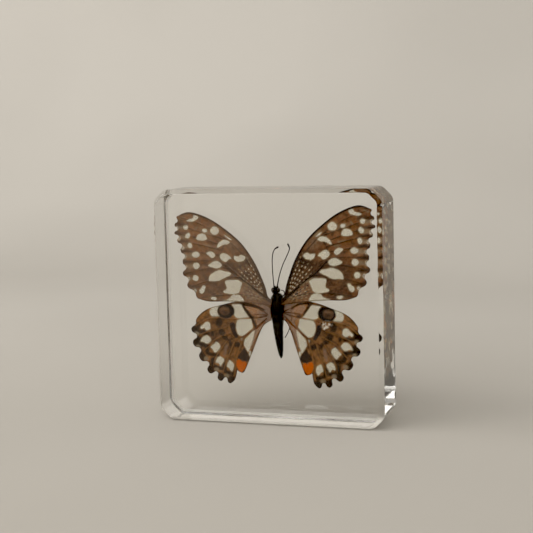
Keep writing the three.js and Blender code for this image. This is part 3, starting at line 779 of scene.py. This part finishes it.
def paint_hindwing(painting, wing, root, right):
    lay, oval, shape, stroke = painting.lay, painting.oval, painting.shape, painting.stroke
    at = painting.points
    lay(np.ones(len(at)), HIND_GROUND, 0.88)
    lay(0.8 * clamp(cloud(at, 2.2, painting.seed + 2) + 0.1), (82, 56, 37), 0.92)
    lay(0.4 * oval(19, -11, 14, 11, -40, 3), (128, 92, 58), 0.9)
    streak(painting, root)
    paint_base(painting, right)
    lay(0.8 * stroke([(17.5, -14), (18, -17.5)], 1, 0.7, 0.6), (176, 140, 112), 0.7)
    for line in HIND_CREAM.values():
        lay(shape(line, 0.35), CREAM, CREAM_COVER)
    lay(0.9 * shape(ABOVE_ORANGE, 0.4), BLUE_BLACK, 0.95)
    painting.lay_ovals(EYE_SPOT)
    for line in HIND_LUNULES:
        lay(0.9 * stroke(line, 1.5, 1.2, 0.6, 0.2), HIND_BLACK, 0.95)
    for x, z in HIND_LOBES:
        lay(0.95 * oval(x, z, 4.3, 4, 0, 1, 0.25), HIND_BLACK, 0.96)
    for line in GOLDEN_VEINS:
        lay(0.4 * stroke(line, 1.3, 0.9, 0.6), (60, 40, 28), 0.93)
        lay(0.65 * stroke(line, 0.3, 0.26), GOLD, 0.9)
    for x, z, wide, high, tilt in HIND_DARK_OVALS:
        lay(0.85 * oval(x, z, wide, high, tilt, 0.5, 0.2), (36, 27, 25), 0.96)
    lay(0.95 * stroke([(15.9, -6.8), (15.4, -8.7), (14.3, -10.5)], 1.7, 1.2), BLUE_BLACK, 0.97)
    for x, z in HIND_NOTCHES:
        lay(0.9 * oval(x, z, 1.5, 1.4, 0, 0.5), (182, 158, 116), 0.55)
    lay(0.97 * shape(ORANGE_SPOT, 0.3), ORANGE, 0.96)
    lay(0.8 * stroke([(9.9, -20), (10.4, -21.3), (11.2, -22.2)], 0.5), HIND_BLACK, 0.95)
    lay(0.7 * stroke([(5, -4.5), (9, -8), (12, -10.3)], 0.45), (120, 62, 34), 0.95)
    costa = np.array([(13, 0.7), (20, -0.4), (24, -2), (28, -5.6)])
    lay(0.75 * stroke(costa, 0.5), (96, 66, 40), 0.93)
    lay(0.8 * clamp((0.3 - painting.depth) / 0.3), HIND_BLACK, 0.93)
    if right:
        paint_damage(painting)


# %% [markdown]
# ## From flat sheet to wing
#
# Now we bend each sheet, store its paint and set it in its place. The paint is kept in the mesh
# itself, as a colour and a cover value on every point, and the material only adds what is finer than
# the grid: the grain of the scales, and their dull sheen, which is painted into the colour as soft golden
# mottling. A wing's "faded" value washes its upper side a little paler, and the underside of this
# butterfly is paler anyway.

# %% Finish the four wings
FADED_SCALES, UNDERSIDE = (184, 160, 140), (176, 156, 116)
VEIN_HEIGHT, VEIN_WIDTH, SAG, BOW, RIPPLE = 0.1, 0.19, 0.12, 0.2, 0.05
FORE_PLANE, HIND_PLANE = -0.4, 0.4


def wing_material():
    scales = Recipe("wing_scales", roughness=0.62, specular_ior_level=0.25)
    paint = scales.node("Attribute", attribute_name="paint").outputs["Color"]
    cover = scales.node("Attribute", attribute_name="cover").outputs["Fac"]
    rows = scales.noise(0.16, 2.0)
    mottle = scales.noise(0.9, 4.0)
    # Painted sheen: soft golden mottling is laid over the paint where the scales would shine.
    grain, painted_sheen_share = scales.ranged(rows, 0.0, 0.5, 0.35, 0.65), scales.ranged(mottle, 0.0, 0.35, 0.45, 0.7)
    speckled = scales.mixed(grain, paint, linear(70, 48, 30), "MULTIPLY")
    colour_with_painted_sheen = scales.mixed(painted_sheen_share, speckled, linear(206, 166, 104), "OVERLAY")
    scales.feed("Base Color", colour_with_painted_sheen)
    thin = scales.ranged(rows, -0.06, 0.06, 0.35, 0.65)
    total = scales.node("Math", {0: cover, 1: thin}, operation="ADD", use_clamp=True)
    scales.feed("Alpha", total.outputs["Value"])
    scales.bump(rows, 0.02, 0.5)
    return scales


def placed(points, where):
    """Takes [outward, up] points of a design to [x, z] in the block."""
    wide, high = where["stretch"]
    turned = math.radians(where["turn"])
    x, z = where["side"] * points[:, 0] * wide, points[:, 1] * high
    cos, sin = math.cos(turned), math.sin(turned)
    return np.stack([x * cos - z * sin + where["root"][0], x * sin + z * cos + where["root"][1]], axis=1)


def make_wing(name, kind, wing, where, plane, seed):
    bm = sheets[kind].copy()
    co = np.array([v.co for v in bm.verts])
    design = co[:, [0, 2]]
    upper = co[:, 1] < 0
    depth = depth_inside(design, outlines[kind])
    gaps = [nearest_on(design, curve_through(vein, 5))[0] for vein in wing["veins"]]
    gap = np.min(gaps, axis=0)

    right_root = (RIGHT_FORE if kind == "forewing" else RIGHT_HIND)["root"]
    painting = Painting(design + right_root, depth, seed)
    if kind == "forewing":
        paint_forewing(painting, wing, right_root)
    else:
        paint_hindwing(painting, wing, right_root, where["side"] > 0)
    painting.lay(np.where(upper, where["faded"], 0), FADED_SCALES)
    painting.lay(np.where(upper, 0, 0.35), UNDERSIDE)

    vein = VEIN_HEIGHT * np.exp(-(gap / VEIN_WIDTH) ** 2) * clamp(depth / 0.5)
    sag = SAG * (1 - np.exp(-gap / 1.2)) * clamp(depth / 1.5)
    reach = np.linalg.norm(design, axis=1) / 30
    ripple = RIPPLE * cloud(design, 3.5, seed + 20)
    y = co[:, 1] + np.where(upper, -vein, vein) + sag + ripple + BOW * (reach ** 2 - 0.3)
    flat = placed(design, where)
    for vert, (x, z), across_block in zip(bm.verts, flat, y + plane):
        vert.co = (x, across_block, z)

    made = finished(name, bm, scales, kind, [name])
    colours = made.data.attributes.new("paint", "FLOAT_COLOR", "POINT")
    colours.data.foreach_set("color", np.column_stack([painting.colour, np.ones(len(co))]).ravel())
    covers = made.data.attributes.new("cover", "FLOAT", "POINT")
    covers.data.foreach_set("value", painting.cover)


scales = wing_material()
make_wing("forewing_right", "forewing", FOREWING, RIGHT_FORE, FORE_PLANE, 11)
make_wing("forewing_left", "forewing", FOREWING, LEFT_FORE, FORE_PLANE, 31)
make_wing("hindwing_right", "hindwing", HINDWING, RIGHT_HIND, HIND_PLANE, 51)
make_wing("hindwing_left", "hindwing", HINDWING, LEFT_HIND, HIND_PLANE, 71)
for sheet in sheets.values():
    sheet.free()


# %% [markdown]
# ## The body
#
# The head, the thorax and the abdomen are turned shapes, so we spin a profile round an upright axis,
# as a potter or a lathe would. The abdomen is a row of rings, each a little fuller behind its groove.
# Under the head are two palps and the tongue, which is rolled up like a watch spring.

# %% Helpers for turned shapes and tubes
def join(bm, part, matrix=None):
    """Moves a part into bm and frees it."""
    if matrix:
        bmesh.ops.transform(part, matrix=matrix, verts=part.verts[:])
    carried = bpy.data.meshes.new("carried")
    part.to_mesh(carried)
    part.free()
    bm.from_mesh(carried)
    bpy.data.meshes.remove(carried)


def spun(profile, steps=40):
    """The surface that a profile of (radius, height) points makes when it turns once round Z."""
    part = bmesh.new()
    line = [part.verts.new((radius, 0, height)) for radius, height in profile]
    edges = [part.edges.new(pair) for pair in zip(line, line[1:])]
    bmesh.ops.spin(part, geom=line + edges, cent=(0, 0, 0), axis=(0, 0, 1), angle=2 * math.pi,
                   steps=steps, use_merge=True)
    bmesh.ops.remove_doubles(part, verts=part.verts[:], dist=1e-5)
    return part


def tube(bm, centres, radii, sides=8):
    """Adds a closed tube through centres, with its own radius at each."""
    centres = [Vector(c) for c in centres]
    rings = []
    for i, (centre, radius) in enumerate(zip(centres, radii)):
        ahead = centres[min(i + 1, len(centres) - 1)] - centres[max(i - 1, 0)]
        place = Matrix.Translation(centre) @ ahead.to_track_quat("Z", "Y").to_matrix().to_4x4()
        verts = bmesh.ops.create_circle(bm, segments=sides, radius=radius, matrix=place)["verts"]
        rings.append(list({e for v in verts for e in v.link_edges}))
    for ring, following in zip(rings, rings[1:]):
        bmesh.ops.bridge_loops(bm, edges=ring + following)
    for ring in (rings[0], rings[-1]):
        bmesh.ops.edgenet_fill(bm, edges=ring)


# %% Make the trunk and the head
THORAX_CENTRE = Vector((2, 0.9, -0.3))
THORAX_PROFILE = [(0, 4.25), (0.7, 4.2), (1.25, 3.8), (1.75, 2.9), (1.95, 2.1), (1.9, 1.75), (2.08, 1.2),
    (2.12, -0.6), (2.1, -1.8), (1.9, -2.5), (1.92, -3.2), (1.5, -4.4), (0.8, -4.8), (0, -4.85)]
ABDOMEN_START = Vector((1.75, 1, -4.2))
ABDOMEN_LENGTH, ABDOMEN_RADIUS, ABDOMEN_LEAN = 13.15, 1.68, math.radians(5)
ABDOMEN_RINGS, RING_DEPTH, STEPS_PER_RING = 7, 0.14, 8
ABDOMEN_BLUNTNESS, BODY_DEPTH_SCALE = 1.4, 1.08
HEAD_CENTRE = Vector((1.6, 0.7, 4.9))
HEAD_RADIUS, EYE_RADIUS = 1.12, 0.74
EYE_OFFSET = Vector((0.85, -0.2, 0.1))
PALP_RADII = [0.3, 0.33, 0.34, 0.33, 0.3, 0.27, 0.22, 0.15, 0.05]
TONGUE_TURNS, TONGUE_PITCH = 2.5, 0.034


def abdomen_profile():
    steps = ABDOMEN_RINGS * STEPS_PER_RING
    profile = [(0, 0.4), (0.9, 0.35)]
    for i in range(steps):
        share = i / steps
        taper = math.sqrt(1 - share ** ABDOMEN_BLUNTNESS)
        in_ring = (i % STEPS_PER_RING) / STEPS_PER_RING
        groove = RING_DEPTH * (1 - math.sin(math.pi * in_ring ** 0.7))
        profile.append((max((ABDOMEN_RADIUS - groove) * taper, 0.05), -ABDOMEN_LENGTH * share))
    return profile + [(0, -ABDOMEN_LENGTH)]


def turned_place(centre, lean=0.0):
    deepened = Matrix.Diagonal((1, BODY_DEPTH_SCALE, 1, 1))
    return Matrix.Translation(centre) @ Matrix.Rotation(-lean, 4, "Y") @ deepened


trunk = bmesh.new()
join(trunk, spun(curve_through(THORAX_PROFILE, 3).clip([0, -9], 9)), turned_place(THORAX_CENTRE))
join(trunk, spun(abdomen_profile()), turned_place(ABDOMEN_START, ABDOMEN_LEAN))
head = bmesh.new()
bmesh.ops.create_icosphere(head, subdivisions=4, radius=HEAD_RADIUS)
join(trunk, head, Matrix.Translation(HEAD_CENTRE) @ Matrix.Diagonal((1, 1.05, 0.95, 1)))
for side in (-1, 1):
    route = ((side * 0.4, 0.6, 0), (side * 0.48, 0.95, 0.7), (side * 0.46, 0.9, 1.45))
    palp = [HEAD_CENTRE + Vector(place) for place in route]
    tube(trunk, curve_through(palp, 4), PALP_RADII, 10)
turns = [TONGUE_TURNS * 2 * math.pi * i / 60 for i in range(61)]
coil = [HEAD_CENTRE + Vector((0, 1.25 + TONGUE_PITCH * t * math.cos(t),
                              -0.5 + TONGUE_PITCH * t * math.sin(t))) for t in turns]
tube(trunk, coil, [0.07] * len(coil), 6)

skin = Recipe("body_skin", roughness=0.7, specular_ior_level=0.3)
skin.mottled(0.6, 4.0, 0.35, 0.7, (14, 11, 10), (34, 25, 19))
skin.bump(skin.noise(0.12, 2.0), 0.05, 0.8)
bmesh.ops.recalc_face_normals(trunk, faces=trunk.faces[:])
fur_bed = [(f.calc_center_median(), f.normal.copy(), f.calc_area()) for f in trunk.faces]
finished("body", trunk, skin, "body", ["body"])

# %% [markdown]
# ## Eyes
#
# A butterfly's eye is a dome of thousands of six-sided lenses. A fine cell pattern in the bump gives
# the facets, which are much too small to model, and leaves the shine that we see.

# %% Make the eyes
eyes = bmesh.new()
for side in (-1, 1):
    dome = bmesh.new()
    bmesh.ops.create_icosphere(dome, subdivisions=4, radius=EYE_RADIUS)
    place = HEAD_CENTRE + Vector((side * EYE_OFFSET.x, EYE_OFFSET.y, EYE_OFFSET.z))
    join(eyes, dome, Matrix.Translation(place) @ Matrix.Diagonal((0.92, 1, 1.08, 1)))
lens = Recipe("eye_facets", roughness=0.22, coat_weight=0.4)
facets = lens.node("TexVoronoi", {"Vector": lens.place(), "Scale": 1 / (0.07 * MM)}, feature="F1")
lens.mottled(0.5, 3.0, 0.4, 0.6, (30, 18, 12), (54, 32, 20))
lens.bump(lens.ranged(facets.outputs["Distance"], 1.0, 0.0, 0.0, 0.6), 0.02, 0.6)
finished("eyes", eyes, lens, "body")

# %% [markdown]
# ## Fur
#
# The thorax and head are densely furred and the abdomen is downy. Each hair is a three-sided spike
# that starts on the skin and leans back along the body. We choose where they grow by the area of the
# faces, so that they are spread evenly, and seed the choice. The spin operator may list its faces in
# another order on the next run, so we sort them by place first, and every run grows the same coat.

# %% Grow the fur
THORAX_HAIRS, ABDOMEN_HAIRS, WAIST = 3600, 2600, -4.6
HAIR_RADIUS, HAIR_DRIFT, PATCH_HAIRS = 0.028, 0.22, 100


def grow(bm, bed, count, length, lean, seed):
    random = np.random.default_rng(seed)
    areas = np.array([area for _, _, area in bed])
    chosen = random.choice(len(bed), count, p=areas / areas.sum())
    patch = bmesh.new()
    for number, index in enumerate(chosen):
        if number % PATCH_HAIRS == PATCH_HAIRS - 1:
            join(bm, patch)
            patch = bmesh.new()
        centre, normal, _ = bed[index]
        drift = Vector(random.normal(0, HAIR_DRIFT, 3))
        way = (normal + Vector((0, 0, -lean)) + drift).normalized()
        long = length * random.uniform(0.6, 1.25)
        root = centre + drift * 0.35 - drift.dot(normal) * 0.35 * normal
        place = Matrix.Translation(root + way * long / 2) @ way.to_track_quat("Z", "Y").to_matrix().to_4x4()
        bmesh.ops.create_cone(patch, segments=3, radius1=HAIR_RADIUS, radius2=0.004, depth=long, matrix=place)
    join(bm, patch)


fur_bed.sort(key=lambda face: [round(c, 3) for c in face[0]])
fur = bmesh.new()
grow(fur, [f for f in fur_bed if f[0].z > WAIST], THORAX_HAIRS, 0.62, 1.0, 5)
grow(fur, [f for f in fur_bed if f[0].z <= WAIST], ABDOMEN_HAIRS, 0.3, 1.8, 6)
down = Recipe("fur_hairs", roughness=0.8, specular_ior_level=0.1)
down.mottled(0.35, 2.0, 0.4, 0.65, (14, 11, 10), (46, 34, 25))
finished("body_fur", fur, down, "body")

# %% [markdown]
# ## Legs
#
# Six thin legs are folded behind the wings, each with a thigh, a shin and a foot of small joints. One
# smooth curve carries each leg, and its radius steps down at the knee, at the ankle and between the
# joints of the foot.

# %% Make the legs
LEGS = [
    [(2.8, 2.2, 2.4), (4.1, 2.4, 3.4), (4, 1.9, 4.6), (3.1, 1.6, 4.9)],
    [(1.1, 2.2, 2.4), (0.3, 3.2, 3.3), (1.1, 3.3, 5), (1.5, 3, 6)],
    [(3, 2.4, -0.4), (6, 2.9, 1.1), (6.1, 3, -5.2), (5.2, 2.9, -8.4), (3.9, 2.8, -10.8)],
    [(1, 2.4, -0.4), (-0.6, 3.2, -1.2), (0.4, 3.3, -5.4), (1, 3.1, -8.2)],
    [(2.7, 2.6, -2.6), (3.4, 3.4, -3.6), (3, 3.3, -8.6), (3.1, 3.1, -12.4)],
    [(1.3, 2.6, -2.6), (0.9, 3.4, -3.8), (1.7, 3.4, -9), (2.2, 3.1, -13)],
]
LEG_STEPS = 12
THIGH, SHIN, FOOT = 0.24, 0.18, 0.14


def leg_radius(part, parts):
    """How thick a leg is, where part runs from 0 at the body to parts at the claw."""
    if part < 1:
        return THIGH * (0.8 + 0.2 * math.sin(math.pi * part))
    if part < parts - 1:
        return SHIN
    joint = (part - (parts - 1)) * 5 % 1
    return FOOT * (0.75 + 0.35 * joint)


legs = bmesh.new()
for route in LEGS:
    centres = curve_through(route, LEG_STEPS)
    radii = [leg_radius(i / LEG_STEPS, len(route) - 1) for i in range(len(centres))]
    radii[-1] = 0.04
    tube(legs, centres, radii)
horn = Recipe("horn", roughness=0.45, specular_ior_level=0.4)
horn.mottled(0.8, 3.0, 0.35, 0.65, (22, 14, 12), (50, 30, 22))
horn.bump(horn.noise(0.1, 2.0), 0.02, 0.5)
finished("legs", legs, horn, "body")

# %% [markdown]
# ## Antennae
#
# An antenna is a whip of short joints that swells into a club. Its radius is written as one function
# of the share of the way along, a base, a shaft that ripples once for each joint, and the club. The
# tips curl in opposite ways, as they do in the photograph.

# %% Make the antennae
ANTENNAE = {
    "antenna_left": [(1.2, 0.2, 5.6), (1, 0, 8), (0.8, -0.1, 12), (0.8, -0.1, 15), (1.1, -0.1, 17),
        (1.8, -0.1, 18.3), (3, 0, 19)],
    "antenna_right": [(2.1, 0.2, 5.6), (3, 0, 9.5), (4.2, -0.1, 13), (5.4, -0.1, 15.5), (6.2, -0.1, 17.2),
        (6.6, 0, 18.6), (6, 0, 20.1)],
}
ANTENNA_STEPS, JOINTS, JOINT_DEPTH = 24, 36, 0.018
SHAFT, CLUB, CLUB_START, CLUB_FULL = 0.15, 0.27, 0.78, 0.93


def antenna_radius(share):
    base = 0.08 * math.exp(-share * 14)
    ripple = JOINT_DEPTH * abs(math.sin(math.pi * JOINTS * share))
    swell = clamp(np.array((share - CLUB_START) / (CLUB_FULL - CLUB_START)))
    club = (CLUB - SHAFT) * float(swell * swell * (3 - 2 * swell))
    tip = math.sqrt(max(1 - max((share - 0.94) / 0.06, 0) ** 2, 0.02))
    return (SHAFT + base + ripple + club) * tip


for name, route in ANTENNAE.items():
    whip = bmesh.new()
    centres = curve_through(route, ANTENNA_STEPS)
    tube(whip, centres, [antenna_radius(i / (len(centres) - 1)) for i in range(len(centres))])
    finished(name, whip, horn, "antenna", [name])
